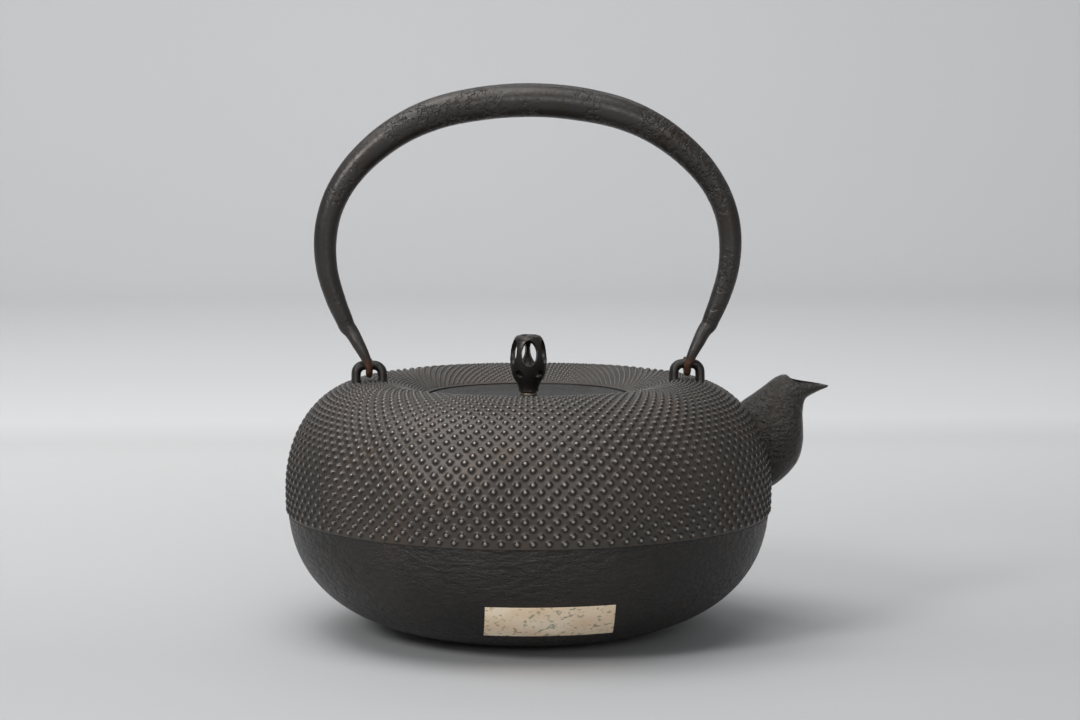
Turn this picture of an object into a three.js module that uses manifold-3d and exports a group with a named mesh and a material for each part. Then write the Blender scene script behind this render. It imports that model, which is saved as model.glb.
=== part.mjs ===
import * as THREE from "three";
import { mergeVertices } from "three/addons/utils/BufferGeometryUtils.js";
import Module from "manifold-3d";

const wasm = await Module();
wasm.setup();

// A cast iron kettle with a hinged bail, a lifting lid and a turning openwork knob.
// Millimetres, +Z up. The origin is the middle of the flat base, and +X points to the spout.

// Clearances
const FIT = 0.3; // between pieces that touch
const LID_PLAY = 0.6; // round the lid and its skirt

// Vessel
const BELLY_RADIUS = 94.6;
const EQUATOR_Z = 56.1;
const BASE_CUT = 1.6; // the round bottom is ground flat by this much
const BOTTOM_CORE = 11.7;
const LOWER_POWER = 2.54;
const UPPER_POWER = 2.11;
const CREST_RADIUS = 59.85;
const CREST_Z = 98.6;
const MOUTH_RADIUS = 39.5;
const MOUTH_DROP = 5.4; // from the crest down to the mouth's rim
const MOUTH_SLOPE_POWER = 1.6;
const SEAM_Z = 46.4; // where the studded half of the mould meets the plain half
const SEAM_STEP = 0.6;
const WALL = 3.2;
const AROUND = 44;

// Lid
const LID_THICKNESS = 2.6;
const LID_SINK = 1.0; // its rim lies this far below the mouth's rim
const LID_DISH = 1.0;
const LID_DISH_RADIUS = 29;
const LEDGE_WIDTH = 4;
const SKIRT_DEPTH = 9.5;
const SKIRT_WALL = 2.4;

// Knob and its rivet
const RIVET_RADIUS = 1.4;
const RIVET_HEAD_HEIGHT = 1.3;
const RIVET_HEAD_RADIUS = 2.5;
const WASHER_RADIUS = 4.5;
const WASHER_THICKNESS = 1.2;
const COLLAR_RADIUS = 3.3;
const COLLAR_HEIGHT = 1.8;
const KNOB_RADIUS = 7.2;
const KNOB_HEIGHT = 22;
const KNOB_WALL = 1.5;
const KNOB_FLOOR = 2.2;
const KNOB_WINDOWS = 5;

// Lugs
const LUG_RADIUS = 62; // from the kettle's axis to the middle of the eye
const LUG_HEIGHT = 7.35; // above the crest
const LUG_WIDTH = 14;
const CROWN_RADIUS = 1.85;
const LUG_FOOT_HALF_DEPTH = 3.5;
const LUG_ROOT_DEPTH = 5; // how far an uncut leg reaches below the crest

// Bail
const BAIL_HALF_WIDTH = 78.7;
const BAIL_HEIGHT = 102.6; // from the pivots to the middle of the tube at the top
const BAIL_TOP_RADIUS = 6.55;
const BAIL_END_RADIUS = 3.3;
const BAIL_WALL = 1.2;
const HOOK_NECK_RADIUS = 2.5;
const HOOK_WIRE_RADIUS = 1.35;
const HOOK_TANG_LENGTH = 7;

// Spout
const SPOUT_WALL = 2.4;

// Paper label on the front of the lower wall
const LABEL_WIDTH = 48;
const LABEL_LOW_Z = 10.5;
const LABEL_HIGH_Z = 23.6;
const LABEL_CENTRE_X = 4;
const LABEL_THICKNESS = 0.3;

// Levels that follow from the sizes above
const MOUTH_Z = CREST_Z - MOUTH_DROP;
const LID_SEAT_Z = MOUTH_Z - LID_SINK - LID_THICKNESS;
const LEDGE_RADIUS = MOUTH_RADIUS - LEDGE_WIDTH;
const PIVOT_Z = CREST_Z + LUG_HEIGHT - CROWN_RADIUS;
const HOLE_RADIUS = RIVET_RADIUS + FIT;
const LID_TOP = LID_THICKNESS - LID_DISH; // the dished middle, above the seat
const LID_UNDER = -LID_DISH + 0.2;
const WASHER_TOP = LID_UNDER - FIT;
const COLLAR_Z = LID_TOP + FIT;
const KNOB_Z = COLLAR_Z + COLLAR_HEIGHT + FIT;
const RIVET_LOW = WASHER_TOP - WASHER_THICKNESS - FIT;
const RIVET_HIGH = KNOB_Z + KNOB_FLOOR + FIT;

const iron = (color, roughness, metalness) =>
  new THREE.MeshStandardMaterial({ color, roughness, metalness });
const castIron = iron(0x3a3633, 0.55, 0.6);
const forgedIron = iron(0x2c2a29, 0.45, 0.8);
const lidIron = iron(0x35332f, 0.6, 0.6);
const hookIron = iron(0x4a3527, 0.7, 0.5);
const bronze = iron(0x57493a, 0.5, 0.8);
const paper = iron(0xcfc3a4, 0.9, 0);

// A closed geometry as a solid, turned the right way out.
function solidOf(geometry) {
  const bare = new THREE.BufferGeometry();
  bare.setAttribute("position", geometry.getAttribute("position"));
  if (geometry.index) bare.setIndex(geometry.index);
  const merged = mergeVertices(bare, 1e-4);
  const triangles = [];
  const all = merged.index.array;
  for (let i = 0; i < all.length; i += 3) {
    const [a, b, c] = [all[i], all[i + 1], all[i + 2]];
    if (a !== b && b !== c && c !== a) triangles.push(a, b, c);
  }
  const make = (order) =>
    new wasm.Manifold(
      new wasm.Mesh({
        numProp: 3,
        vertProperties: new Float32Array(merged.attributes.position.array),
        triVerts: new Uint32Array(order),
      }),
    );
  const solid = make(triangles);
  return solid.volume() > 0 ? solid : make(triangles.reverse());
}

function meshOf(name, solid, material) {
  const data = solid.getMesh();
  const positions = new Float32Array(data.numVert * 3);
  for (let i = 0; i < data.numVert; i++) {
    const start = i * data.numProp;
    positions.set(data.vertProperties.subarray(start, start + 3), i * 3);
  }
  const geometry = new THREE.BufferGeometry();
  geometry.setAttribute("position", new THREE.BufferAttribute(positions, 3));
  geometry.setIndex(new THREE.BufferAttribute(data.triVerts, 1));
  geometry.computeVertexNormals();
  const mesh = new THREE.Mesh(geometry, material);
  mesh.name = name;
  return mesh;
}

// A profile of [radius, height] points turned about the Z axis.
function turned(profile, segments) {
  const points = profile.map(([radius, height]) => new THREE.Vector2(radius, height));
  const onAxis = points[0].x === 0 && points[points.length - 1].x === 0;
  if (!onAxis) points.push(points[0].clone());
  return solidOf(new THREE.LatheGeometry(points, segments).rotateX(Math.PI / 2));
}

// Rings of equally many points, joined by their sides and closed at both ends.
function lofted(rings) {
  const count = rings[0].length;
  const points = rings.flat();
  const triangles = [];
  for (let ring = 0; ring + 1 < rings.length; ring++) {
    for (let i = 0; i < count; i++) {
      const a = ring * count + i;
      const b = ring * count + ((i + 1) % count);
      triangles.push(a, b, b + count, a, b + count, a + count);
    }
  }
  const last = (rings.length - 1) * count;
  const middle = (ring) =>
    ring.reduce((sum, p) => sum.add(p), new THREE.Vector3()).divideScalar(count);
  const start = points.push(middle(rings[0])) - 1;
  const end = points.push(middle(rings[rings.length - 1])) - 1;
  for (let i = 0; i < count; i++) {
    const next = (i + 1) % count;
    triangles.push(start, next, i, end, last + i, last + next);
  }
  const geometry = new THREE.BufferGeometry().setFromPoints(points);
  geometry.setIndex(triangles);
  return solidOf(geometry);
}

// A round or oval bar along a smooth path. Each row is [x, y, z, radius, half depth].
function swept(rows, steps, sides, grow = 0) {
  const path = new THREE.CatmullRomCurve3(rows.map(([x, y, z]) => new THREE.Vector3(x, y, z)));
  const sizes = new THREE.CatmullRomCurve3(
    rows.map(([, , , radius, depth = radius]) => new THREE.Vector3(radius, depth, 0)),
  );
  const across = new THREE.Vector3(0, 1, 0);
  const rings = [];
  for (let step = 0; step <= steps; step++) {
    const t = step / steps;
    const middle = path.getPoint(t);
    const along = path.getTangent(t);
    const size = sizes.getPoint(t);
    across.addScaledVector(along, -across.dot(along)).normalize();
    const side = new THREE.Vector3().crossVectors(along, across);
    const ring = [];
    for (let i = 0; i < sides; i++) {
      const angle = (2 * Math.PI * i) / sides;
      ring.push(
        middle
          .clone()
          .addScaledVector(side, (size.x + grow) * Math.cos(angle))
          .addScaledVector(across, (size.y + grow) * Math.sin(angle)),
      );
    }
    rings.push(ring);
  }
  return lofted(rings);
}

// The vessel's outline, moved outwards by grow, as radius and height
function lowerPoint(angle, grow) {
  const full = EQUATOR_Z + BASE_CUT + grow;
  const reach = BELLY_RADIUS + grow - BOTTOM_CORE;
  const radius = BOTTOM_CORE + reach * Math.sin(angle) ** (2 / LOWER_POWER);
  return [radius, EQUATOR_Z - full * Math.cos(angle) ** (2 / LOWER_POWER)];
}

function upperPoint(angle, grow) {
  const reach = BELLY_RADIUS + grow - CREST_RADIUS;
  const rise = CREST_Z + grow - EQUATOR_Z;
  const radius = CREST_RADIUS + reach * Math.cos(angle) ** (2 / UPPER_POWER);
  return [radius, EQUATOR_Z + rise * Math.sin(angle) ** (2 / UPPER_POWER)];
}

function lowerAngleAt(z, grow) {
  const full = EQUATOR_Z + BASE_CUT + grow;
  return Math.acos(((EQUATOR_Z - z) / full) ** (LOWER_POWER / 2));
}

function lowerOutline(fromZ, toZ, steps, grow) {
  const start = lowerAngleAt(fromZ, grow);
  const end = lowerAngleAt(toZ, grow);
  const points = [];
  for (let i = 0; i <= steps; i++) points.push(lowerPoint(start + ((end - start) * i) / steps, grow));
  return points;
}

function upperOutline(steps, grow) {
  const points = [];
  for (let i = 0; i <= steps; i++) points.push(upperPoint((Math.PI * i) / (2 * steps), grow));
  return points;
}

function mouthSlope(steps, toRadius, drop, grow) {
  const points = [];
  for (let i = 1; i <= steps; i++) {
    const share = i / steps;
    const radius = CREST_RADIUS + (toRadius - CREST_RADIUS) * share;
    points.push([radius, CREST_Z + grow - drop * share ** MOUTH_SLOPE_POWER]);
  }
  return points;
}

function outerOutline(grow) {
  const below = lowerOutline(0, SEAM_Z, 8, grow - SEAM_STEP);
  const above = lowerOutline(SEAM_Z, EQUATOR_Z - 0.01, 2, grow);
  const shoulder = upperOutline(10, grow).slice(1);
  return [...below, ...above, ...shoulder, ...mouthSlope(4, MOUTH_RADIUS, MOUTH_DROP, grow)];
}

// What the pieces that stand on the vessel are cut with
const aroundVessel = turned([[0, 0], ...outerOutline(FIT), [0, MOUTH_Z + FIT]], AROUND);

// Spout
// Each section has the points of its back and front edges, as [out from the belly, up from the equator].
const SPOUT_SECTIONS = [
  { back: [-16.6, 27.9], front: [-8.6, -4.1], half: 11.5 },
  { back: [-10.1, 33.5], front: [1.1, -0.5], half: 12.8 },
  { back: [-6.1, 36.2], front: [6.9, 4.1], half: 13.0 },
  { back: [-2.1, 39.1], front: [11.2, 9.7], half: 12.6 },
  { back: [1.9, 42.1], front: [13.0, 16.4], half: 11.6 },
  { back: [5.1, 43.4], front: [13.0, 23.4], half: 10.2 },
  { back: [9.4, 42.8], front: [12.7, 28.4], half: 8.4 },
  { back: [14.4, 41.3], front: [13.6, 33.6], half: 6.2 },
  { back: [18.9, 40.1], front: [17.9, 36.4], half: 4.0 },
  { back: [23.0, 39.1], front: [21.9, 38.1], half: 1.6 },
];
const MOUTH_FROM_SECTION = 6; // from here to the tip the beak is open on top
const BEAK_OPEN_RISE = 1.5; // how far the cut stands above the open edge
const BORE_LAST_SECTION = 8;

function spoutSections(hollow) {
  if (!hollow) return SPOUT_SECTIONS;
  return SPOUT_SECTIONS.slice(0, BORE_LAST_SECTION + 1).map(({ back, front, half }, i) => {
    const length = Math.hypot(front[0] - back[0], front[1] - back[1]);
    const inward = [(front[0] - back[0]) / length, (front[1] - back[1]) / length];
    const open = i >= MOUTH_FROM_SECTION;
    const backMove = open ? -BEAK_OPEN_RISE : i === MOUTH_FROM_SECTION - 1 ? 0.4 * SPOUT_WALL : SPOUT_WALL;
    const frontMove = i === BORE_LAST_SECTION ? 0.65 * SPOUT_WALL : SPOUT_WALL;
    return {
      back: [back[0] + inward[0] * backMove, back[1] + inward[1] * backMove],
      front: [front[0] - inward[0] * frontMove, front[1] - inward[1] * frontMove],
      half: half - 0.85 * SPOUT_WALL,
    };
  });
}

function spoutForm(hollow, stepsBetween, sides) {
  const sections = spoutSections(hollow);
  const point = ([out, up], half) => new THREE.Vector3(BELLY_RADIUS + out, EQUATOR_Z + up, half);
  const backs = new THREE.CatmullRomCurve3(sections.map((s) => point(s.back, s.half)));
  const fronts = new THREE.CatmullRomCurve3(sections.map((s) => point(s.front, s.half)));
  const steps = (sections.length - 1) * stepsBetween;
  const rings = [];
  for (let step = 0; step <= steps; step++) {
    const back = backs.getPoint(step / steps);
    const front = fronts.getPoint(step / steps);
    const ring = [];
    for (let i = 0; i < sides; i++) {
      const angle = (2 * Math.PI * i) / sides;
      const share = (1 + Math.cos(angle)) / 2;
      ring.push(
        new THREE.Vector3(
          front.x + (back.x - front.x) * share,
          back.z * Math.sin(angle),
          front.y + (back.y - front.y) * share,
        ),
      );
    }
    rings.push(ring);
  }
  return lofted(rings);
}

const spoutBore = spoutForm(true, 2, 16);
const spout = spoutForm(false, 2, 20).subtract(spoutBore).subtract(aroundVessel);

// Vessel
function vesselSolid() {
  const inside = -WALL;
  const ledgeDrop = CREST_Z - (LID_SEAT_Z - FIT);
  const innerMouth = mouthSlope(3, LEDGE_RADIUS, ledgeDrop, inside).reverse();
  const innerUpper = upperOutline(6, inside).reverse();
  const innerLower = lowerOutline(WALL, EQUATOR_Z - 0.01, 6, inside - SEAM_STEP).reverse();
  return turned(
    [
      [0, 0],
      ...outerOutline(0),
      [MOUTH_RADIUS, LID_SEAT_Z - FIT],
      [LEDGE_RADIUS, LID_SEAT_Z - FIT],
      ...innerMouth,
      ...innerUpper,
      ...innerLower,
      [0, WALL],
    ],
    AROUND,
  ).subtract(spoutBore);
}

// Lugs, each an arch over an eye that is open along Y
function lugSolid(side) {
  const leg = LUG_WIDTH / 2 - CROWN_RADIUS;
  const foot = CREST_Z - LUG_ROOT_DEPTH;
  const halfArch = [
    [1, foot, LUG_FOOT_HALF_DEPTH],
    [1.0, CREST_Z + 0.1 * LUG_HEIGHT, 0.9 * LUG_FOOT_HALF_DEPTH],
    [0.93, PIVOT_Z - 1.9, 0.75 * LUG_FOOT_HALF_DEPTH],
    [0.66, PIVOT_Z - 0.45, CROWN_RADIUS + 0.2],
    [0.3, PIVOT_Z, CROWN_RADIUS],
  ];
  const row = ([share, z, depth], way) => {
    return [side * (LUG_RADIUS + way * leg * share), 0, z, CROWN_RADIUS, depth];
  };
  const rows = [...halfArch.map((p) => row(p, -1)), ...halfArch.map((p) => row(p, 1)).reverse()];
  return swept(rows, 16, 10).subtract(aroundVessel);
}

// Bail, with its heights measured from the pivots
// Each row is [share of the half width, share of the height, share of the way from end to top thickness].
const BAIL_SHAPE = [
  [0.907, 0.1686, 0],
  [0.948, 0.2446, 0.15],
  [0.991, 0.3587, 0.25],
  [1, 0.4727, 0.34],
  [0.978, 0.5741, 0.4],
  [0.921, 0.6745, 0.48],
  [0.8196, 0.7749, 0.62],
  [0.6544, 0.8782, 0.77],
  [0.4701, 0.9464, 0.89],
  [0.2414, 0.9864, 0.98],
  [0, 1, 1],
];
const bailRow = ([width, height, thick], side) => [
  side * width * BAIL_HALF_WIDTH,
  0,
  height * BAIL_HEIGHT,
  BAIL_END_RADIUS + (BAIL_TOP_RADIUS - BAIL_END_RADIUS) * thick,
];

const bailRows = [
  ...BAIL_SHAPE.map((shape) => bailRow(shape, 1)),
  ...BAIL_SHAPE.map((shape) => bailRow(shape, -1)).reverse().slice(1),
];
const bailPath = new THREE.CatmullRomCurve3(bailRows.map(([x, y, z]) => new THREE.Vector3(x, y, z)));

function bailTubeSolid() {
  const beyond = (end, next) => [2 * end[0] - next[0], 0, 2 * end[2] - next[2], end[3]];
  const last = bailRows.length - 1;
  const before = beyond(bailRows[0], bailRows[1]);
  const after = beyond(bailRows[last], bailRows[last - 1]);
  const hollow = swept([before, ...bailRows, after], 30, 8, -BAIL_WALL);
  return swept(bailRows, 34, 12).subtract(hollow);
}

// A hook hangs down in front of the crown, turns back through the eye and up behind it.
function bailHookSolid(side) {
  const end = bailRows[0];
  const up = bailPath.getTangent(0);
  const top = [end[0] - up.x * FIT, 0, end[2] - up.z * FIT];
  const turn = CROWN_RADIUS + HOOK_WIRE_RADIUS + FIT + 0.1;
  const lean = (share, y, radius) => [
    side * (LUG_RADIUS + (top[0] - LUG_RADIUS) * share),
    y,
    top[2] * share ** 0.85,
    radius,
  ];
  const eye = (angle, radius) => [side * LUG_RADIUS, -turn * Math.cos(angle), -turn * Math.sin(angle), radius];
  const neck = [
    [side * top[0], 0, top[2], BAIL_END_RADIUS - 0.1],
    [side * (top[0] - 2 * up.x), 0, top[2] - 2 * up.z, BAIL_END_RADIUS - 0.1],
    lean(0.72, -0.2 * turn, HOOK_NECK_RADIUS + 0.3),
    lean(0.45, -0.75 * turn, HOOK_NECK_RADIUS),
    lean(0.2, -1.06 * turn, 0.8 * HOOK_NECK_RADIUS),
    eye(0.1, 1.1 * HOOK_WIRE_RADIUS),
    eye(Math.PI / 4, HOOK_WIRE_RADIUS),
    eye(Math.PI / 2, HOOK_WIRE_RADIUS),
    eye((3 * Math.PI) / 4, HOOK_WIRE_RADIUS),
    eye(Math.PI, HOOK_WIRE_RADIUS),
    [side * LUG_RADIUS, turn, 0.6 * turn, 0.75 * HOOK_WIRE_RADIUS],
  ];
  const tangRadius = BAIL_END_RADIUS - BAIL_WALL - FIT;
  const tang = [-1, 0, HOOK_TANG_LENGTH / 2, HOOK_TANG_LENGTH].map((s) => [
    side * (top[0] + up.x * s),
    0,
    top[2] + up.z * s,
    tangRadius,
  ]);
  return swept(neck, 22, 10).add(swept(tang, 3, 8));
}

// Lid, with its heights measured from its seat
function lidSolid() {
  const edge = MOUTH_RADIUS - LID_PLAY;
  const skirt = LEDGE_RADIUS - LID_PLAY;
  return turned(
    [
      [HOLE_RADIUS, LID_UNDER],
      [skirt - SKIRT_WALL, LID_UNDER],
      [skirt - SKIRT_WALL, -SKIRT_DEPTH],
      [skirt, -SKIRT_DEPTH],
      [skirt, 0],
      [edge, 0],
      [edge, LID_THICKNESS - 0.5],
      [edge - 0.5, LID_THICKNESS],
      [LID_DISH_RADIUS + 4, LID_THICKNESS - 0.1],
      [LID_DISH_RADIUS, LID_TOP],
      [HOLE_RADIUS, LID_TOP],
    ],
    AROUND,
  );
}

const ringSolid = (outer, low, high, chamfer) =>
  turned(
    [
      [HOLE_RADIUS, low],
      [outer - chamfer, low],
      [outer, low + chamfer],
      [outer, high - chamfer],
      [outer - chamfer, high],
      [HOLE_RADIUS, high],
    ],
    20,
  );

const rivetSolid = () =>
  turned(
    [
      [0, RIVET_LOW - RIVET_HEAD_HEIGHT],
      [0.7 * RIVET_HEAD_RADIUS, RIVET_LOW - RIVET_HEAD_HEIGHT],
      [RIVET_HEAD_RADIUS, RIVET_LOW - 0.4 * RIVET_HEAD_HEIGHT],
      [RIVET_HEAD_RADIUS, RIVET_LOW],
      [RIVET_RADIUS, RIVET_LOW],
      [RIVET_RADIUS, RIVET_HIGH],
      [RIVET_HEAD_RADIUS, RIVET_HIGH],
      [RIVET_HEAD_RADIUS, RIVET_HIGH + 0.4 * RIVET_HEAD_HEIGHT],
      [0.7 * RIVET_HEAD_RADIUS, RIVET_HIGH + RIVET_HEAD_HEIGHT],
      [0, RIVET_HIGH + RIVET_HEAD_HEIGHT],
    ],
    20,
  );

// The openwork bud: a shell with tall windows between its ribs and small ones below them
function knobSolid() {
  const rise = (share) => KNOB_HEIGHT * share;
  const outer = [
    [0.54, 0], [0.57, 0.1], [0.82, 0.24], [0.96, 0.41], [1, 0.57],
    [0.96, 0.73], [0.82, 0.89], [0.64, 0.98], [0.47, 1],
  ].map(([r, z]) => [r * KNOB_RADIUS, rise(z)]);
  const inner = [
    [0.82, 0.87], [0.96, 0.72], [1, 0.57], [0.96, 0.42], [0.82, 0.28],
  ].map(([r, z]) => [r * KNOB_RADIUS - KNOB_WALL, rise(z)]);
  const floorRadius = RIVET_HEAD_RADIUS + FIT + 0.1;
  const shell = turned(
    [
      [HOLE_RADIUS, 0],
      ...outer,
      [0.38 * KNOB_RADIUS, rise(1) - 0.8],
      ...inner,
      [floorRadius, KNOB_FLOOR + FIT + RIVET_HEAD_HEIGHT],
      [floorRadius, KNOB_FLOOR],
      [HOLE_RADIUS, KNOB_FLOOR],
    ],
    30,
  );
  const windowCutter = (angle, height, halfWidth, halfHeight) =>
    solidOf(
      new THREE.SphereGeometry(1, 10, 8)
        .scale(0.5 * KNOB_RADIUS, halfWidth, halfHeight)
        .translate(0.92 * KNOB_RADIUS, 0, height)
        .rotateZ(angle),
    );
  let cut = shell;
  for (let i = 0; i < KNOB_WINDOWS; i++) {
    const angle = (2 * Math.PI * i) / KNOB_WINDOWS - Math.PI / 2;
    const between = angle + Math.PI / KNOB_WINDOWS;
    cut = cut.subtract(windowCutter(angle, rise(0.7), 0.45 * KNOB_RADIUS, rise(0.235)));
    cut = cut.subtract(windowCutter(between, rise(0.33), 0.27 * KNOB_RADIUS, rise(0.065)));
  }
  return cut;
}

// Paper label, a thin sheet that follows the lower wall
function labelSolid() {
  const across = 10;
  const upward = 5;
  const point = (i, j, grow) => {
    const x = LABEL_CENTRE_X + LABEL_WIDTH * (i / across - 0.5);
    const z = LABEL_LOW_Z + ((LABEL_HIGH_Z - LABEL_LOW_Z) * j) / upward;
    const [radius, height] = lowerPoint(lowerAngleAt(z, 0), grow - SEAM_STEP);
    return new THREE.Vector3(x, -Math.sqrt(radius ** 2 - x ** 2), height);
  };
  const rings = [];
  for (let i = 0; i <= across; i++) {
    const ring = [];
    for (let j = 0; j <= upward; j++) ring.push(point(i, j, FIT));
    for (let j = upward; j >= 0; j--) ring.push(point(i, j, FIT + LABEL_THICKNESS));
    rings.push(ring);
  }
  return lofted(rings);
}

const kettle = new THREE.Group();

const vessel = new THREE.Group();
vessel.add(meshOf("kettle_body", vesselSolid(), castIron));
vessel.add(meshOf("spout", spout, castIron));
vessel.add(meshOf("lug_front", lugSolid(1), castIron));
vessel.add(meshOf("lug_rear", lugSolid(-1), castIron));
vessel.add(meshOf("paper_label", labelSolid(), paper));
kettle.add(vessel);

const bail = new THREE.Group();
bail.position.z = PIVOT_Z;
bail.add(meshOf("bail_tube", bailTubeSolid(), forgedIron));
bail.add(meshOf("bail_hook_front", bailHookSolid(1), hookIron));
bail.add(meshOf("bail_hook_rear", bailHookSolid(-1), hookIron));
kettle.add(bail);

const lid = new THREE.Group();
lid.position.z = LID_SEAT_Z;
lid.add(meshOf("lid_plate", lidSolid(), lidIron));
const collar = ringSolid(COLLAR_RADIUS, COLLAR_Z, COLLAR_Z + COLLAR_HEIGHT, 0.4);
const washer = ringSolid(WASHER_RADIUS, WASHER_TOP - WASHER_THICKNESS, WASHER_TOP, 0.2);
lid.add(meshOf("knob_collar", collar, bronze));
lid.add(meshOf("knob_washer", washer, bronze));
lid.add(meshOf("knob_rivet", rivetSolid(), bronze));
kettle.add(lid);

const knob = new THREE.Group();
knob.position.z = KNOB_Z;
knob.add(meshOf("knob", knobSolid(), forgedIron));
lid.add(knob);

export default kettle;
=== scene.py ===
import math

import bmesh
import bpy
import numpy as np
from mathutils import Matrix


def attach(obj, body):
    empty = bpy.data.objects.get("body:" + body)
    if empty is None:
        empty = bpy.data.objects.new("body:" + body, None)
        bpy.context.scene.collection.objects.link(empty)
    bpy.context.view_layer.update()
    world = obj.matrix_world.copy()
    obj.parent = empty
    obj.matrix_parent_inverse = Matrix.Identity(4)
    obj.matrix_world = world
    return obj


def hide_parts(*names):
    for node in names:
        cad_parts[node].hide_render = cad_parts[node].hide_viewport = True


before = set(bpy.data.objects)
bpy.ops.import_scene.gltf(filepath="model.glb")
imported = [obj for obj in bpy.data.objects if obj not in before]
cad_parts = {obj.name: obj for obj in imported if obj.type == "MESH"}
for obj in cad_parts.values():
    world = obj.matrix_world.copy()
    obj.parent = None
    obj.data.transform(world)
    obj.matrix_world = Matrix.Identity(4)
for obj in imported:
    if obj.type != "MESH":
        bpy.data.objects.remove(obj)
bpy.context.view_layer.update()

# Sizes are in millimetres and turn into metres where a mesh is made.
MM = 0.001

# Vessel
BELLY_RADIUS = 94.6
EQUATOR_Z = 56.1
BASE_CUT = 1.6
BOTTOM_CORE = 11.7
LOWER_POWER = 2.54
UPPER_POWER = 2.11
CREST_RADIUS = 59.85
CREST_Z = 98.6
MOUTH_RADIUS = 39.5
MOUTH_DROP = 5.4
MOUTH_SLOPE_POWER = 1.6
SEAM_Z = 46.4
SEAM_STEP = 0.6
WALL = 3.2
SEAM_LIP = 0.3  # how far below the seam the plain wall ends
SEAM_FLARE = 0.1
SEAM_GAP = 0.05
MOUTH_ROUNDING = 0.6
MOUTH_EDGE_LIFT = 0.2
MOUTH_INNER_LIFT = 0.1
NEARLY_EQUATOR_Z = EQUATOR_Z - 0.01
MOUTH_Z = CREST_Z - MOUTH_DROP

# Studs
STUDS_AROUND = 102
STUD_HEIGHT = 1.15
STUD_GROUND = 0.75  # the ground between the studs lies this far inside the outline
ROW_SHARE = 0.465  # rows apart, as a share of the pitch round the vessel
STUD_WIDTH_SHARE = 0.232
STUD_ROUNDNESS = 0.8
STUD_SHRINKING = 1.2  # the power by which the studs get lower towards the mouth
FIRST_STUD_ROW = 0.8  # both in rows, from the seam and from the mouth's rim
LAST_STUD_ROW = 0.6
COLUMNS_PER_STUD = 10
MESH_ROWS_PER_ROW = 6

# Lid and knob
FIT = 0.3
LID_PLAY = 0.6
LID_THICKNESS = 2.6
LID_SINK = 1.0
LID_EDGE = 0.6  # the rounding of the lid's upper edge
LID_DISH = 1.0
LID_DISH_START = 34  # the dish falls from this radius inwards, over its slope
LID_DISH_SLOPE = 9
LID_DISH_FOOT = 12
LID_UNDERSIDE = 0.2
LEDGE_WIDTH = 4
LEDGE_RADIUS = MOUTH_RADIUS - LEDGE_WIDTH
LID_SEAT_Z = MOUTH_Z - LID_SINK - LID_THICKNESS
LEDGE_Z = LID_SEAT_Z - FIT
LID_DISH_STEPS = 12
SKIRT_DEPTH = 9.5
SKIRT_WALL = 2.4
HOLE_RADIUS = 1.7
LID_TOP_Z = LID_SEAT_Z + LID_THICKNESS - LID_DISH
COLLAR_Z = LID_TOP_Z + FIT
COLLAR_HEIGHT = 1.8
COLLAR_RADIUS = 3.3
KNOB_Z = COLLAR_Z + COLLAR_HEIGHT + FIT
KNOB_RADIUS = 7.2
KNOB_HEIGHT = 22
KNOB_WALL = 1.5
KNOB_FLOOR = 2.2
KNOB_CAP = 0.8
KNOB_CAP_SHARE = 0.38
KNOB_WINDOWS = 5
# Each window is its turn in half pitches, then height, half width and half height as shares of the knob.
KNOB_WINDOW_SIZES = [(0, 0.7, 0.45, 0.235), (1, 0.33, 0.27, 0.065)]
WINDOW_CENTRE_SHARE = 0.92
WINDOW_DEPTH_SHARE = 0.5
RIVET_POCKET_RADIUS = 2.9
RIVET_POCKET_HEIGHT = 1.6

# Lugs and bail
LUG_RADIUS = 62
LUG_HEIGHT = 7.35
LUG_WIDTH = 14
CROWN_RADIUS = 1.85
LUG_FOOT_HALF_DEPTH = 3.5
LUG_FOOT_SINK = 2.6  # below the crest, in the vessel's wall
PIVOT_Z = CREST_Z + LUG_HEIGHT - CROWN_RADIUS
BAIL_HALF_WIDTH = 78.7
BAIL_HEIGHT = 102.6
BAIL_TOP_RADIUS = 6.55
BAIL_END_RADIUS = 3.3
HOOK_NECK_RADIUS = 2.5
HOOK_WIRE_RADIUS = 1.35
HOOK_PLAY = 0.1
HOOK_RUST_HEIGHT = 4  # the rust fades out this far above the pivot

# Spout
SPOUT_WALL = 2.4
SPOUT_ROOT_SINK = 1.2
# The wall's thickness at these places, as shares of SPOUT_WALL
THROAT_SHARE = 0.4
TIP_SHARE = 0.65
SIDE_SHARE = 0.85

# Label
LABEL_WIDTH = 48
LABEL_LOW_Z = 10.5
LABEL_HIGH_Z = 23.6
LABEL_CENTRE_X = 4
LABEL_THICKNESS = 0.3
LABEL_LIFT = 0.05


# Meshes
def linked(thing):
    bpy.context.scene.collection.objects.link(thing)
    return thing


def new_object(name, vertices, faces, smooth_angle=45):
    mesh = bpy.data.meshes.new(name)
    mesh.from_pydata((np.asarray(vertices) * MM).tolist(), [], faces)
    work = bmesh.new()
    work.from_mesh(mesh)
    bmesh.ops.remove_doubles(work, verts=work.verts, dist=1e-7)
    bmesh.ops.recalc_face_normals(work, faces=work.faces)
    work.to_mesh(mesh)
    work.free()
    finish_shading(mesh, smooth_angle)
    return linked(bpy.data.objects.new(name, mesh))


def finish_shading(mesh, smooth_angle):
    mesh.shade_smooth()
    mesh.set_sharp_from_angle(angle=math.radians(smooth_angle))


def grid_faces(rows, columns, rows_close=False, columns_close=True):
    faces = []
    for row in range(rows if rows_close else rows - 1):
        below = row * columns
        above = ((row + 1) % rows) * columns
        for i in range(columns if columns_close else columns - 1):
            nxt = (i + 1) % columns
            faces.append((below + i, below + nxt, above + nxt, above + i))
    return faces


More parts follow.
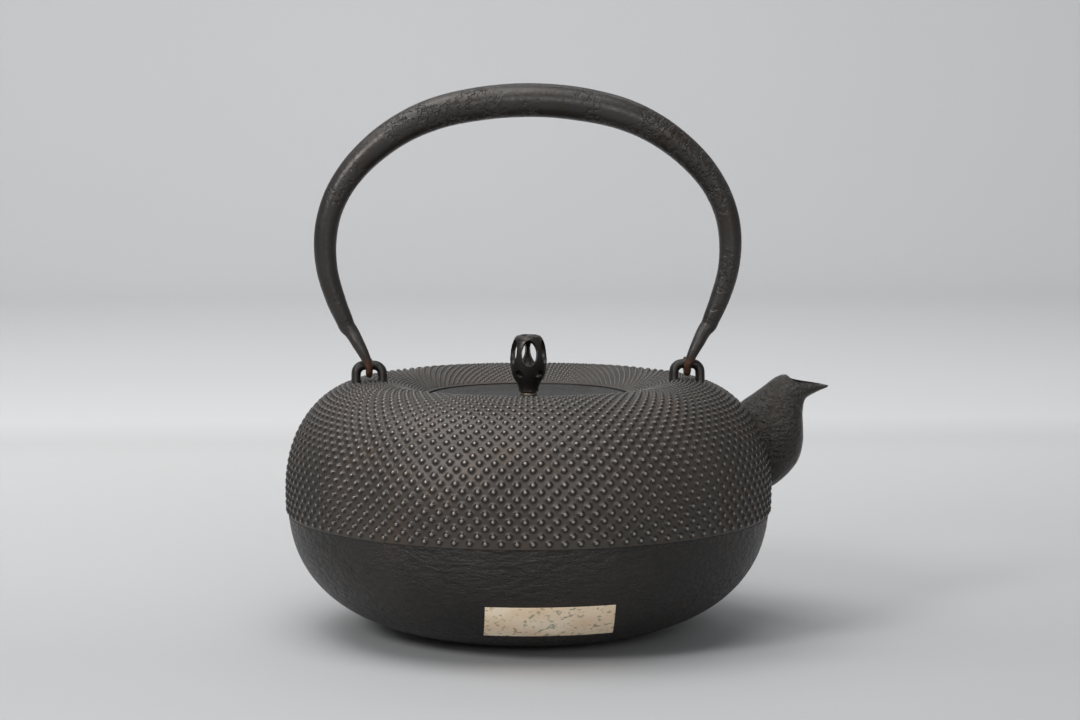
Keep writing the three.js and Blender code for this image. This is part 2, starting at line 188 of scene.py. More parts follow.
def turned(name, profile, segments, base_z=0.0, smooth_angle=45):
    """A closed profile of (radius, height), or one that starts and ends on the axis, about Z."""
    profile = np.array(profile, float)
    angles = np.linspace(0, 2 * math.pi, segments, endpoint=False)
    points = np.zeros((len(profile), segments, 3))
    points[:, :, 0] = profile[:, :1] * np.cos(angles)
    points[:, :, 1] = profile[:, :1] * np.sin(angles)
    points[:, :, 2] = profile[:, 1:] + base_z
    on_axis = profile[0, 0] == 0 and profile[-1, 0] == 0
    faces = grid_faces(len(profile), segments, rows_close=not on_axis)
    return new_object(name, points.reshape(-1, 3), faces, smooth_angle)


def smooth_path(points, count):
    """A centripetal Catmull-Rom curve through the points, at count even steps."""
    p = np.array(points, float)
    p = np.vstack([2 * p[0] - p[1], p, 2 * p[-1] - p[-2]])
    spans = len(p) - 3
    result = []
    for step in range(count):
        t = step / (count - 1) * spans
        i = min(int(t), spans - 1)
        w = t - i
        a, b, c, d = p[i], p[i + 1], p[i + 2], p[i + 3]
        d1 = max(np.linalg.norm(c - b) ** 0.5, 1e-4)
        d0 = np.linalg.norm(b - a) ** 0.5
        d2 = np.linalg.norm(d - c) ** 0.5
        d0 = d0 if d0 > 1e-4 else d1
        d2 = d2 if d2 > 1e-4 else d1
        m1 = ((b - a) / d0 - (c - a) / (d0 + d1) + (c - b) / d1) * d1
        m2 = ((c - b) / d1 - (d - b) / (d1 + d2) + (d - c) / d2) * d1
        result.append(
            (2 * w**3 - 3 * w**2 + 1) * b + (w**3 - 2 * w**2 + w) * m1
            + (3 * w**2 - 2 * w**3) * c + (w**3 - w**2) * m2
        )
    return np.array(result)


def lofted(name, rings, smooth_angle=45):
    rings = np.array(rings)
    rows, columns = rings.shape[:2]
    faces = grid_faces(rows, columns)
    faces.append(tuple(range(columns)))
    faces.append(tuple((rows - 1) * columns + i for i in range(columns)))
    return new_object(name, rings.reshape(-1, 3), faces, smooth_angle)


# How fast each wave of an uneven bar turns and swells from one step to the next
WAVE_RATES = [(0.11, 0.19), (0.18, 0.32), (0.25, 0.45)]


def swept(name, rows, count, sides, uneven=0.0, seed=0):
    """A bar along a path. Each row is x, y, z, radius and, where it is oval, half depth."""
    full = [list(row) + [row[3]] * (5 - len(row)) for row in rows]
    path = smooth_path([row[:3] for row in full], count)
    sizes = smooth_path([row[3:] + [0] for row in full], count)[:, :2]
    random = np.random.default_rng(seed)
    phases = random.uniform(0, 2 * math.pi, 6)
    along = np.gradient(path, axis=0)
    along /= np.linalg.norm(along, axis=1)[:, None]
    across = np.array([0.0, 1.0, 0.0])
    rings = []
    for step in range(count):
        across = across - across.dot(along[step]) * along[step]
        across /= np.linalg.norm(across)
        side = np.cross(along[step], across)
        ring = []
        for i in range(sides):
            angle = 2 * math.pi * i / sides
            wave = 0
            for k, (turning, swelling) in enumerate(WAVE_RATES):
                wave += math.sin((k + 1) * angle + phases[k] + step * turning)
                wave += math.sin(phases[k + 3] + step * swelling)
            grow = 1 + uneven * wave / len(phases)
            ring.append(
                path[step]
                + side * sizes[step, 0] * grow * math.cos(angle)
                + across * sizes[step, 1] * grow * math.sin(angle)
            )
        rings.append(ring)
    return lofted(name, rings)


def cut(piece, *cutters, smooth_angle=45):
    for cutter in cutters:
        modifier = piece.modifiers.new("cut", "BOOLEAN")
        modifier.operation = "DIFFERENCE"
        modifier.solver = "EXACT"
        modifier.object = cutter
    bpy.context.view_layer.update()
    evaluated = piece.evaluated_get(bpy.context.evaluated_depsgraph_get())
    done = bpy.data.meshes.new_from_object(evaluated)
    piece.modifiers.clear()
    piece.data = done
    finish_shading(done, smooth_angle)
    for cutter in cutters:
        bpy.data.objects.remove(cutter)
    return piece


# The vessel's outline as (radius, height), moved outwards by grow
def lower_curve(angle, grow):
    full = EQUATOR_Z + BASE_CUT + grow
    reach = BELLY_RADIUS + grow - BOTTOM_CORE
    radius = BOTTOM_CORE + reach * np.sin(angle) ** (2 / LOWER_POWER)
    return np.column_stack([radius, EQUATOR_Z - full * np.cos(angle) ** (2 / LOWER_POWER)])


def lower_angle(z, grow):
    full = EQUATOR_Z + BASE_CUT + grow
    return math.acos(((EQUATOR_Z - z) / full) ** (LOWER_POWER / 2))


def lower_outline(from_z, to_z, steps, grow):
    angles = np.linspace(lower_angle(from_z, grow), lower_angle(to_z, grow), steps + 1)
    return lower_curve(angles, grow)


def upper_outline(steps, grow):
    angle = np.linspace(0, math.pi / 2, steps + 1)
    reach = BELLY_RADIUS + grow - CREST_RADIUS
    rise = CREST_Z + grow - EQUATOR_Z
    radius = CREST_RADIUS + reach * np.clip(np.cos(angle), 0, 1) ** (2 / UPPER_POWER)
    return np.column_stack([radius, EQUATOR_Z + rise * np.sin(angle) ** (2 / UPPER_POWER)])


def mouth_slope(steps, to_radius, drop, grow):
    share = np.arange(1, steps + 1) / steps
    radius = CREST_RADIUS + (to_radius - CREST_RADIUS) * share
    return np.column_stack([radius, CREST_Z + grow - drop * share**MOUTH_SLOPE_POWER])


def studded_outline():
    """The ground between the studs, sampled so that each stud row has equally many mesh rows."""
    ground = -STUD_GROUND
    fine = np.vstack([
        lower_outline(SEAM_Z, NEARLY_EQUATOR_Z, 60, ground),
        upper_outline(700, ground)[1:],
        mouth_slope(120, MOUTH_RADIUS + MOUTH_ROUNDING, MOUTH_DROP - MOUTH_EDGE_LIFT, ground),
    ])
    steps = np.linalg.norm(np.diff(fine, axis=0), axis=1)
    middle_radius = (fine[1:, 0] + fine[:-1, 0]) / 2
    pitch = 2 * math.pi * middle_radius / STUDS_AROUND
    rows = np.concatenate([[0], np.cumsum(steps / (ROW_SHARE * pitch))])
    count = int(rows[-1] * MESH_ROWS_PER_ROW)
    wanted = np.linspace(0, rows[-1], count + 1)
    outline = np.column_stack([np.interp(wanted, rows, fine[:, k]) for k in range(2)])
    return outline, wanted


def body_upper():
    outline, row_of = studded_outline()
    columns = STUDS_AROUND * COLUMNS_PER_STUD
    slope = np.gradient(outline, axis=0)
    slope /= np.linalg.norm(slope, axis=1)[:, None]
    outward = np.column_stack([slope[:, 1], -slope[:, 0]])
    angles = np.arange(columns) * 2 * math.pi / columns
    place = np.arange(columns) / COLUMNS_PER_STUD
    radius = outline[:, :1]
    relief = np.zeros((len(outline), columns))
    last = row_of[-1] - LAST_STUD_ROW
    for shift in (0, 1):
        row = np.floor(row_of - FIRST_STUD_ROW) + shift
        inside = (row >= 0) & (row + FIRST_STUD_ROW <= last)
        away = place[None, :] - 0.5 * (row[:, None] % 2)
        away -= np.round(away)
        rise = (row_of - FIRST_STUD_ROW - row)[:, None] * ROW_SHARE
        distance = np.hypot(away, rise) / STUD_WIDTH_SHARE
        stud = np.clip(1 - distance**2, 0, 1) ** STUD_ROUNDNESS * inside[:, None]
        relief = np.maximum(relief, stud)
    height = STUD_HEIGHT * (radius / BELLY_RADIUS) ** STUD_SHRINKING * relief
    moved = outline[:, None, :] + outward[:, None, :] * height[:, :, None]
    inner = np.vstack([
        [[MOUTH_RADIUS, MOUTH_Z - STUD_GROUND + MOUTH_INNER_LIFT]],
        [[MOUTH_RADIUS, LEDGE_Z]],
        [[LEDGE_RADIUS, LEDGE_Z]],
        mouth_slope(6, LEDGE_RADIUS, CREST_Z - LEDGE_Z, -WALL)[::-1],
        upper_outline(14, -WALL)[::-1],
        lower_outline(SEAM_Z, NEARLY_EQUATOR_Z, 2, -WALL)[::-1],
    ])
    inner = np.repeat(inner[:, None, :], columns, axis=1)
    profile = np.concatenate([moved, inner])
    points = np.zeros(profile.shape[:2] + (3,))
    points[:, :, 0] = profile[:, :, 0] * np.cos(angles)
    points[:, :, 1] = profile[:, :, 0] * np.sin(angles)
    points[:, :, 2] = profile[:, :, 1]
    mesh = bpy.data.meshes.new("body_upper")
    faces = grid_faces(len(profile), columns, rows_close=True)
    mesh.from_pydata((points.reshape(-1, 3) * MM).tolist(), [], faces)
    values = np.concatenate([relief, np.zeros((len(inner), columns))]).ravel()
    attribute = mesh.attributes.new("relief", "FLOAT", "POINT")
    attribute.data.foreach_set("value", values.astype(np.float32))
    finish_shading(mesh, 70)
    return linked(bpy.data.objects.new("body_upper", mesh))


def body_lower():
    outer = lower_outline(0, SEAM_Z - SEAM_LIP, 40, -SEAM_STEP)
    rim_z = SEAM_Z - SEAM_GAP
    seam = np.array([[outer[-1, 0] + SEAM_FLARE, rim_z]])
    inner = lower_outline(WALL, rim_z, 20, -WALL - SEAM_STEP)[::-1]
    profile = np.vstack([[[0, 0]], outer, seam, inner, [[0, WALL]]])
    return turned("body_lower", profile, 256)


# Spout
# Each section is its back and front edge, as (out from the belly, up from the equator), and its half width.
SPOUT_SECTIONS = [
    ((-16.6, 27.9), (-8.6, -4.1), 11.5),
    ((-10.1, 33.5), (1.1, -0.5), 12.8),
    ((-6.1, 36.2), (6.9, 4.1), 13.0),
    ((-2.1, 39.1), (11.2, 9.7), 12.6),
    ((1.9, 42.1), (13.0, 16.4), 11.6),
    ((5.1, 43.4), (13.0, 23.4), 10.2),
    ((9.4, 42.8), (12.7, 28.4), 8.4),
    ((14.4, 41.3), (13.6, 33.6), 6.2),
    ((18.9, 40.1), (17.9, 36.4), 4.0),
    ((23.0, 39.1), (21.9, 38.1), 1.6),
]
MOUTH_FROM_SECTION = 6
BEAK_OPEN_RISE = 1.5
BORE_LAST_SECTION = 8


def spout_sections(hollow):
    if not hollow:
        return SPOUT_SECTIONS
    made = []
    for i, (back, front, half) in enumerate(SPOUT_SECTIONS[: BORE_LAST_SECTION + 1]):
        back, front = np.array(back), np.array(front)
        inward = (front - back) / np.linalg.norm(front - back)
        back_move = -BEAK_OPEN_RISE if i >= MOUTH_FROM_SECTION else SPOUT_WALL
        if i == MOUTH_FROM_SECTION - 1:
            back_move = THROAT_SHARE * SPOUT_WALL
        front_move = TIP_SHARE * SPOUT_WALL if i == BORE_LAST_SECTION else SPOUT_WALL
        narrow = half - SIDE_SHARE * SPOUT_WALL
        made.append((back + inward * back_move, front - inward * front_move, narrow))
    return made


def spout_form(name, hollow, count, sides):
    sections = spout_sections(hollow)

    def edge(k):
        rows = [[BELLY_RADIUS + row[k][0], EQUATOR_Z + row[k][1], row[2]] for row in sections]
        return smooth_path(rows, count)

    rings = []
    for back, front in zip(edge(0), edge(1)):
        ring = []
        for i in range(sides):
            angle = 2 * math.pi * i / sides
            share = (1 + math.cos(angle)) / 2
            ring.append([
                front[0] + (back[0] - front[0]) * share,
                back[2] * math.sin(angle),
                front[1] + (back[1] - front[1]) * share,
            ])
        rings.append(ring)
    return lofted(name, rings)


def spout_piece():
    bore = spout_form("spout_bore", True, 60, 40)
    outline = np.vstack([
        lower_outline(0, NEARLY_EQUATOR_Z, 30, -SPOUT_ROOT_SINK),
        upper_outline(60, -SPOUT_ROOT_SINK)[1:],
    ])
    profile = np.vstack([[[0, 0]], outline, [[0, CREST_Z - SPOUT_ROOT_SINK]]])
    around = turned("around_vessel", profile, 200)
    return cut(spout_form("spout_cast", False, 80, 64), bore, around)


# Lugs and bail
def lug_piece(name, side):
    leg = LUG_WIDTH / 2 - CROWN_RADIUS
    # Each row is a share of the leg's distance from the middle, a height and a half depth.
    half_arch = [
        (1, CREST_Z - LUG_FOOT_SINK, LUG_FOOT_HALF_DEPTH + 0.5),
        (1.0, CREST_Z + 0.1 * LUG_HEIGHT, 0.9 * LUG_FOOT_HALF_DEPTH),
        (0.93, PIVOT_Z - 1.9, 0.75 * LUG_FOOT_HALF_DEPTH),
        (0.66, PIVOT_Z - 0.45, CROWN_RADIUS + 0.2),
        (0.3, PIVOT_Z, CROWN_RADIUS),
    ]

    def row(point, way):
        share, z, depth = point
        return [side * (LUG_RADIUS + way * leg * share), 0, z, CROWN_RADIUS, depth]

    rows = [row(point, -1) for point in half_arch]
    rows += [row(point, 1) for point in reversed(half_arch)]
    return swept(name, rows, 48, 24, uneven=0.05, seed=3 + side)


# Each row is a share of the half width, of the height, and of the way from end to top thickness.
BAIL_SHAPE = [
    (0.907, 0.1686, 0),
    (0.948, 0.2446, 0.15),
    (0.991, 0.3587, 0.25),
    (1, 0.4727, 0.34),
    (0.978, 0.5741, 0.4),
    (0.921, 0.6745, 0.48),
    (0.8196, 0.7749, 0.62),
    (0.6544, 0.8782, 0.77),
    (0.4701, 0.9464, 0.89),
    (0.2414, 0.9864, 0.98),
    (0, 1, 1),
]


def bail_row(shape, side):
    width, height, thick = shape
    radius = BAIL_END_RADIUS + (BAIL_TOP_RADIUS - BAIL_END_RADIUS) * thick
    return [side * width * BAIL_HALF_WIDTH, 0, PIVOT_Z + height * BAIL_HEIGHT, radius]


def bail_piece():
    right = [bail_row(shape, 1) for shape in BAIL_SHAPE]
    left = [bail_row(shape, -1) for shape in reversed(BAIL_SHAPE[:-1])]
    return swept("bail_grip", right + left, 260, 40, uneven=0.012, seed=7)


def hook_piece(name, side):
    end = np.array(bail_row(BAIL_SHAPE[0], 1))
    path = smooth_path([bail_row(shape, 1)[:3] for shape in BAIL_SHAPE], 2001)
    up = (path[1] - path[0]) / np.linalg.norm(path[1] - path[0])
    top = end[:3] - up * FIT
    rise = top[2] - PIVOT_Z
    turn = CROWN_RADIUS + HOOK_WIRE_RADIUS + FIT + HOOK_PLAY

    def lean(share, y, radius):
        x = LUG_RADIUS + (top[0] - LUG_RADIUS) * share
        return [side * x, y, PIVOT_Z + rise * share**0.85, radius]

    def eye(angle, radius):
        y, z = -turn * math.cos(angle), PIVOT_Z - turn * math.sin(angle)
        return [side * LUG_RADIUS, y, z, radius]

    below = top - 2 * up
    rows = [
        [side * (top[0] + 0.2 * up[0]), 0, top[2] + 0.2 * up[2], BAIL_END_RADIUS - 0.05],
        [side * below[0], 0, below[2], BAIL_END_RADIUS - 0.1],
        lean(0.72, -0.2 * turn, HOOK_NECK_RADIUS + 0.3),
        lean(0.45, -0.75 * turn, HOOK_NECK_RADIUS),
        lean(0.2, -1.06 * turn, 0.8 * HOOK_NECK_RADIUS),
        eye(0.1, 1.1 * HOOK_WIRE_RADIUS),
        eye(math.pi / 4, HOOK_WIRE_RADIUS),
        eye(math.pi / 2, HOOK_WIRE_RADIUS),
        eye(3 * math.pi / 4, HOOK_WIRE_RADIUS),
        eye(math.pi, HOOK_WIRE_RADIUS),
        [side * LUG_RADIUS, turn, PIVOT_Z + 0.6 * turn, 0.75 * HOOK_WIRE_RADIUS],
    ]
    return swept(name, rows, 80, 24, uneven=0.03, seed=11 + side)


# Lid, collar and knob
def lid_piece():
    edge = MOUTH_RADIUS - LID_PLAY
    skirt = LEDGE_RADIUS - LID_PLAY
    under = -LID_DISH + LID_UNDERSIDE
    profile = [
        (HOLE_RADIUS, under), (skirt - SKIRT_WALL, under), (skirt - SKIRT_WALL, -SKIRT_DEPTH),
        (skirt, -SKIRT_DEPTH), (skirt, 0), (edge, 0), (edge, LID_THICKNESS - LID_EDGE),
        (edge - 0.3 * LID_EDGE, LID_THICKNESS - 0.3 * LID_EDGE), (edge - LID_EDGE, LID_THICKNESS),
    ]
    for i in range(LID_DISH_STEPS + 1):
        share = i / LID_DISH_STEPS
        fall = LID_DISH * share * share * (3 - 2 * share)
        profile.append((LID_DISH_START - LID_DISH_SLOPE * share, LID_THICKNESS - fall))
    floor = LID_THICKNESS - LID_DISH
    profile += [(LID_DISH_FOOT, floor), (HOLE_RADIUS, floor)]
    return turned("lid_cast", profile, 192, LID_SEAT_Z)


def ring_piece(name, outer, low, high, chamfer):
    profile = [
        (HOLE_RADIUS, low), (outer - chamfer, low), (outer - 0.3 * chamfer, low + 0.3 * chamfer),
        (outer, low + chamfer), (outer, high - chamfer), (outer - 0.3 * chamfer, high - 0.3 * chamfer),
        (outer - chamfer, high), (HOLE_RADIUS, high),
    ]
    return turned(name, profile, 64)


def knob_piece():
    outer = [
        (0.54, 0), (0.52, 0.05), (0.57, 0.1), (0.68, 0.17), (0.82, 0.24), (0.91, 0.32), (0.96, 0.41),
        (1, 0.57), (0.96, 0.73), (0.9, 0.82), (0.82, 0.89), (0.74, 0.95), (0.64, 0.985), (0.47, 1),
    ]
    inner = [(0.82, 0.87), (0.96, 0.72), (1, 0.57), (0.96, 0.42), (0.82, 0.28)]
    profile = [(HOLE_RADIUS, 0)] + [(r * KNOB_RADIUS, z * KNOB_HEIGHT) for r, z in outer]
    profile.append((KNOB_CAP_SHARE * KNOB_RADIUS, KNOB_HEIGHT - KNOB_CAP))
    profile += [(r * KNOB_RADIUS - KNOB_WALL, z * KNOB_HEIGHT) for r, z in inner]
    profile += [
        (RIVET_POCKET_RADIUS, KNOB_FLOOR + RIVET_POCKET_HEIGHT), (RIVET_POCKET_RADIUS, KNOB_FLOOR),
        (HOLE_RADIUS, KNOB_FLOOR),
    ]
    shell = turned("knob_bud", profile, 96, KNOB_Z)
    cutters = []
    for i in range(KNOB_WINDOWS):
        for half_pitches, *size in KNOB_WINDOW_SIZES:
            angle = math.pi * (2 * i + half_pitches) / KNOB_WINDOWS - math.pi / 2
            cutters.append(window_cutter(angle, *size))
    return cut(shell, *cutters, smooth_angle=50)


def window_cutter(angle, height, half_width, half_height):
    rows, columns = 25, 40
    points = []
    for row in range(rows):
        lift = math.pi * (row / (rows - 1) - 0.5)
        for i in range(columns):
            turn = 2 * math.pi * i / columns
            depth = WINDOW_DEPTH_SHARE * math.cos(lift) * math.cos(turn)
            x = KNOB_RADIUS * (WINDOW_CENTRE_SHARE + depth)
            y = half_width * KNOB_RADIUS * math.cos(lift) * math.sin(turn)
            z = KNOB_Z + height * KNOB_HEIGHT + half_height * KNOB_HEIGHT * math.sin(lift)
            points.append([
                x * math.cos(angle) - y * math.sin(angle),
                x * math.sin(angle) + y * math.cos(angle),
                z,
            ])
    return new_object("window_cutter", points, grid_faces(rows, columns))


def label_piece():
    across, upward = 60, 20

    def point(i, j, grow):
        z = LABEL_LOW_Z + (LABEL_HIGH_Z - LABEL_LOW_Z) * j / upward
        x = LABEL_CENTRE_X + LABEL_WIDTH * (i / across - 0.5)
        radius, height = lower_curve(np.array([lower_angle(z, 0)]), grow - SEAM_STEP)[0]
        angle = math.asin(x / radius)
        return [radius * math.sin(angle), -radius * math.cos(angle), height]

    rings = []
    for i in range(across + 1):
        ring = [point(i, j, LABEL_LIFT) for j in range(upward + 1)]
        ring += [point(i, j, LABEL_LIFT + LABEL_THICKNESS) for j in range(upward, -1, -1)]
        rings.append(ring)
    return lofted("label_paper", rings, 60)


# Materials
def material(name, roughness, metallic):
    made = bpy.data.materials.new(name)
    made.use_nodes = True
    nodes = made.node_tree.nodes
    shader = nodes["Principled BSDF"]
    shader.inputs["Roughness"].default_value = roughness
    shader.inputs["Metallic"].default_value = metallic
    return made, nodes, made.node_tree.links, shader


def noise(nodes, links, scale, detail=4.0, roughness=0.55, stretch=(1, 1, 1)):
    place = nodes.new("ShaderNodeTexCoord")
    mapping = nodes.new("ShaderNodeMapping")
    mapping.inputs["Scale"].default_value = stretch
    texture = nodes.new("ShaderNodeTexNoise")
    texture.inputs["Scale"].default_value = scale
    texture.inputs["Detail"].default_value = detail
    texture.inputs["Roughness"].default_value = roughness
    links.new(place.outputs["Object"], mapping.inputs["Vector"])
    links.new(mapping.outputs["Vector"], texture.inputs["Vector"])
    return texture.outputs["Fac"]


def ramp(nodes, links, source, stops):
    node = nodes.new("ShaderNodeValToRGB")
    elements = node.color_ramp.elements
    while len(elements) < len(stops):
        elements.new(0.5)
    for element, (position, colour) in zip(elements, stops):
        element.position = position
        element.color = (*colour, 1)
    links.new(source, node.inputs["Fac"])
    return node.outputs["Color"]


def spread(nodes, links, source, low, high, to_low, to_high):
    node = nodes.new("ShaderNodeMapRange")
    node.inputs["From Min"].default_value = low
    node.inputs["From Max"].default_value = high
    node.inputs["To Min"].default_value = to_low
    node.inputs["To Max"].default_value = to_high
    links.new(source, node.inputs["Value"])
    return node.outputs["Result"]


def blended(nodes, links, share, first, second):
    """Two colours mixed by share. The second may be a constant."""
    node = nodes.new("ShaderNodeMix")
    node.data_type = "RGBA"
    links.new(share, node.inputs["Factor"])
    links.new(first, node.inputs["A"])
    if isinstance(second, tuple):
        node.inputs["B"].default_value = (*second, 1)
    else:
        links.new(second, node.inputs["B"])
    return node.outputs["Result"]


def place_along(nodes, links, axis):
    place = nodes.new("ShaderNodeTexCoord")
    apart = nodes.new("ShaderNodeSeparateXYZ")
    links.new(place.outputs["Object"], apart.inputs["Vector"])
    return apart.outputs[axis]


def add_bump(nodes, links, shader, layers):
    """Bump layers as (height, strength, distance in metres), from coarse to fine."""
    before = None
    for height, strength, distance in layers:
        bump = nodes.new("ShaderNodeBump")
        bump.inputs["Strength"].default_value = strength
        bump.inputs["Distance"].default_value = distance
        links.new(height, bump.inputs["Height"])
        if before is not None:
            links.new(before, bump.inputs["Normal"])
        before = bump.outputs["Normal"]
    links.new(before, shader.inputs["Normal"])


def iron_skin(name, tones, roughness, metallic, grain, grain_scale, ripple=0.0, pits=0.0, rust=None):
    """Iron with its relief. Returns its colour and roughness too, which the caller links."""
    made, nodes, links, shader = material(name, roughness, metallic)
    dark, light = tones
    cloud = noise(nodes, links, 28, 5, 0.6)
    colour = ramp(nodes, links, cloud, [(0.3, dark), (0.7, light)])
    if rust:
        patch = spread(nodes, links, noise(nodes, links, 45, 6, 0.65), 0.5, 0.68, 0, 0.85)
        spots = ramp(nodes, links, cloud, [(0.2, rust), (0.8, tuple(0.7 * c for c in rust))])
        colour = blended(nodes, links, patch, colour, spots)
    fine = noise(nodes, links, grain_scale, 4, 0.6)
    layers = []
    if ripple:
        layers.append((noise(nodes, links, 240, 5, 0.6, (1, 1, 2.3)), 1.0, ripple))
    if pits:
        mask = spread(nodes, links, noise(nodes, links, 30, 3, 0.5), 0.5, 0.62, 0, 1)
        worms = spread(nodes, links, noise(nodes, links, 420, 3, 0.6), 0.42, 0.5, 1, 0)
        depth = nodes.new("ShaderNodeMath")
        depth.operation = "MULTIPLY"
        links.new(mask, depth.inputs[0])
        links.new(worms, depth.inputs[1])
        inverse = spread(nodes, links, depth.outputs["Value"], 0, 1, 1, 0)
        layers.append((inverse, 0.8, pits))
    layers.append((fine, 0.7, grain))
    add_bump(nodes, links, shader, layers)
    sheen = spread(nodes, links, fine, 0.3, 0.7, roughness - 0.08, roughness + 0.12)
    return made, nodes, links, shader, colour, sheen


def iron(*settings, **relief):
    made, _, links, shader, colour, sheen = iron_skin(*settings, **relief)
    links.new(colour, shader.inputs["Base Color"])
    links.new(sheen, shader.inputs["Roughness"])
    return made


def studded_iron():
    """Cast iron with painted shade round the foot and sides of each stud, and a painted highlight on its
    tip that is partly also wear.
    """
    made, nodes, links, shader, colour, _ = iron_skin(
        "studded_iron", ((0.032, 0.0275, 0.0235), (0.056, 0.047, 0.039)), 0.36, 0.3, 0.00016, 900,
        rust=(0.072, 0.05, 0.036),
    )
    relief = nodes.new("ShaderNodeAttribute")
    relief.attribute_name = "relief"
    painted_stud_shade = spread(nodes, links, relief.outputs["Fac"], 0.0, 0.2, 0, 0.8)
    tip_wear_and_highlight = spread(nodes, links, relief.outputs["Fac"], 0.72, 1.0, 0, 0.8)
    # Painted shade: the foot and sides of each stud are darkened towards near black.
    sides = blended(nodes, links, painted_stud_shade, colour, (0.012, 0.01, 0.009))
    # Painted highlight: each stud's tip is painted much lighter, partly also wear.
    with_painted_tip_highlight = blended(nodes, links, tip_wear_and_highlight, sides, (0.34, 0.3, 0.26))
    links.new(with_painted_tip_highlight, shader.inputs["Base Color"])
    sheen = spread(nodes, links, relief.outputs["Fac"], 0, 1, 0.42, 0.18)
    links.new(sheen, shader.inputs["Roughness"])
    return made


def rusty_hook_iron():
    """Forged iron that is rusty only where it turns through the eye."""
    made, nodes, links, shader, colour, sheen = iron_skin(
        "hook_iron", ((0.024, 0.022, 0.0205), (0.042, 0.037, 0.033)), 0.38, 0.45, 0.0002, 700,
    )
    height = place_along(nodes, links, "Z")
    low = spread(nodes, links, height, PIVOT_Z * MM, (PIVOT_Z + HOOK_RUST_HEIGHT) * MM, 0.9, 0)
    stops = [(0.35, (0.05, 0.026, 0.016)), (0.65, (0.17, 0.075, 0.04))]
    rust = ramp(nodes, links, noise(nodes, links, 500, 4), stops)
    links.new(blended(nodes, links, low, colour, rust), shader.inputs["Base Color"])
    links.new(sheen, shader.inputs["Roughness"])
    return made


def paper_material():
    made, nodes, links, shader = material("label_paper", 0.85, 0.0)
    cream = [(0.3, (0.8, 0.6, 0.4)), (0.7, (0.95, 0.83, 0.65))]
    base = ramp(nodes, links, noise(nodes, links, 60, 4), cream)
    earth = [(0.4, (0.42, 0.29, 0.12)), (0.6, (0.25, 0.27, 0.2))]
    ochre = ramp(nodes, links, noise(nodes, links, 20, 2), earth)
    flecks = spread(nodes, links, noise(nodes, links, 420, 3, 0.7), 0.55, 0.63, 0, 0.85)
    links.new(blended(nodes, links, flecks, base, ochre), shader.inputs["Base Color"])
    add_bump(nodes, links, shader, [(noise(nodes, links, 900, 4), 0.5, 0.00005)])
    return made


def use(piece, made, body, slot, *nodes):
    piece.data.materials.clear()
    piece.data.materials.append(made)
    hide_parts(*nodes)
    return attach(piece, body)


# The object
CAST = ((0.009, 0.008, 0.007), (0.021, 0.018, 0.0155))
CAST_SPOUT = ((0.022, 0.0195, 0.0175), (0.042, 0.037, 0.032))
FORGED = ((0.026, 0.024, 0.0225), (0.046, 0.041, 0.037))
LID = ((0.009, 0.0085, 0.0075), (0.017, 0.0155, 0.0135))
KNOB = ((0.014, 0.012, 0.011), (0.03, 0.025, 0.021))
BRONZE = ((0.12, 0.1, 0.075), (0.2, 0.17, 0.13))
lower_iron = iron("lower_iron", CAST, 0.4, 0.3, 0.0003, 620, ripple=0.0016, rust=(0.03, 0.022, 0.017))
spout_iron = iron("spout_iron", CAST_SPOUT, 0.3, 0.45, 0.0032, 480, ripple=0.0024, rust=(0.05, 0.04, 0.032))
lug_iron = iron("lug_iron", CAST, 0.4, 0.35, 0.0002, 700, rust=(0.035, 0.022, 0.015))
bail_iron = iron("bail_iron", FORGED, 0.34, 0.5, 0.0002, 700, pits=0.0009, rust=(0.034, 0.026, 0.02))
hook_iron = rusty_hook_iron()
lid_iron = iron("lid_iron", LID, 0.5, 0.25, 0.00014, 800)
knob_iron = iron("knob_iron", KNOB, 0.28, 0.45, 0.00014, 700, rust=(0.03, 0.022, 0.016))
bronze = iron("dark_bronze", BRONZE, 0.35, 0.7, 0.00005, 900)

use(body_upper(), studded_iron(), "kettle", "body_iron", "kettle_body")
use(body_lower(), lower_iron, "kettle", "body_iron", "kettle_body")
use(spout_piece(), spout_iron, "kettle", "body_iron", "spout")
use(lug_piece("lug_arch_front", 1), lug_iron, "kettle", "body_iron", "lug_front")
use(lug_piece("lug_arch_rear", -1), lug_iron, "kettle", "body_iron", "lug_rear")
use(label_piece(), paper_material(), "kettle", "label_paper", "paper_label")
use(bail_piece(), bail_iron, "bail", "bail_iron", "bail_tube")
use(hook_piece("bail_end_front", 1), hook_iron, "bail", "hook_iron", "bail_hook_front")
use(hook_piece("bail_end_rear", -1), hook_iron, "bail", "hook_iron", "bail_hook_rear")
use(lid_piece(), lid_iron, "lid", "lid_iron", "lid_plate")
use(knob_piece(), knob_iron, "knob", "knob_iron", "knob")
collar = ring_piece("collar_ring", COLLAR_RADIUS, COLLAR_Z, COLLAR_Z + COLLAR_HEIGHT, 0.5)
use(collar, bronze, "lid", "rivet_bronze", "knob_collar")
for node in ("knob_washer", "knob_rivet"):
    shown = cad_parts[node]
    shown.data.materials.clear()
    shown.data.materials.append(bronze)

# Floor and backdrop in one sweep, in metres
FLOOR_FRONT = -2.2
BACK_START = 1.6
BACK_RADIUS = 0.5
BACK_TOP = 2.6
BACK_STEPS = 24
HALF_SPAN = 3.0


